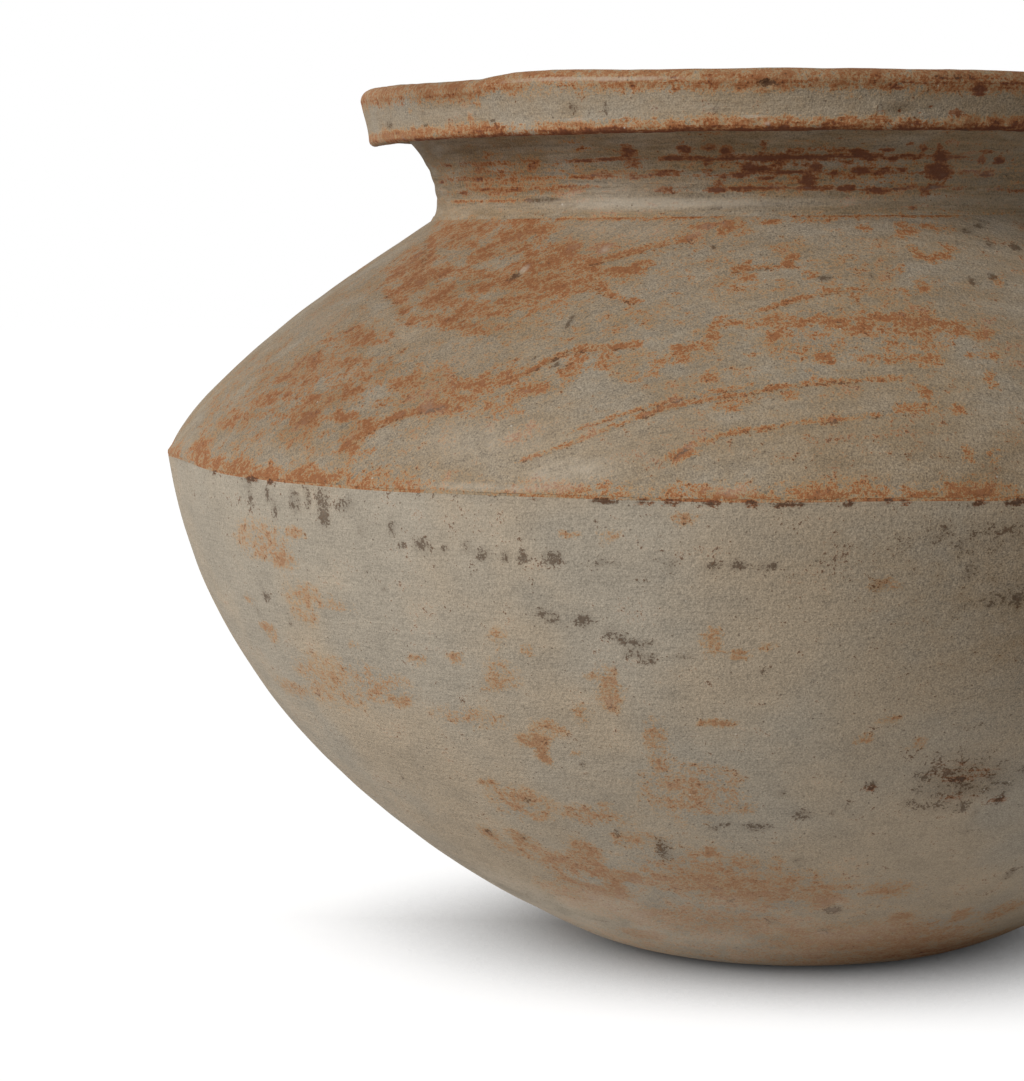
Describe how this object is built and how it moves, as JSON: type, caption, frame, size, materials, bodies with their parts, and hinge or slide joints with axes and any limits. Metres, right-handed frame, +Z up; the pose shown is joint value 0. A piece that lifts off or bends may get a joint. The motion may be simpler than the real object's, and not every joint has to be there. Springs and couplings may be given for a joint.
{
  "type": "water jar",
  "caption": "Round-bottomed clay water jar with a keeled belly, sloping shoulder, short ringed neck and a heavy banded rim.",
  "frame": {"origin": "centre of the worn flat foot, on the ground", "axes": "+Z up the axis that the jar was turned about; the jar is round, so X and Y are free, and +Y points away from the camera of the picture"},
  "size_m": [0.33, 0.33, 0.2243],
  "materials": {
    "bowl_clay": "matt",
    "shoulder_clay": "matt",
    "neck_clay": "matt",
    "rim_clay": "matt",
    "slip": "matt"
  },
  "bodies": {
    "root": {"lower_bowl": "bowl_clay", "keel_lute": "slip", "shoulder": "shoulder_clay", "neck_lute": "slip", "neck": "neck_clay", "rim_lute": "slip", "rim_band": "rim_clay"}
  },
  "joints": []
}
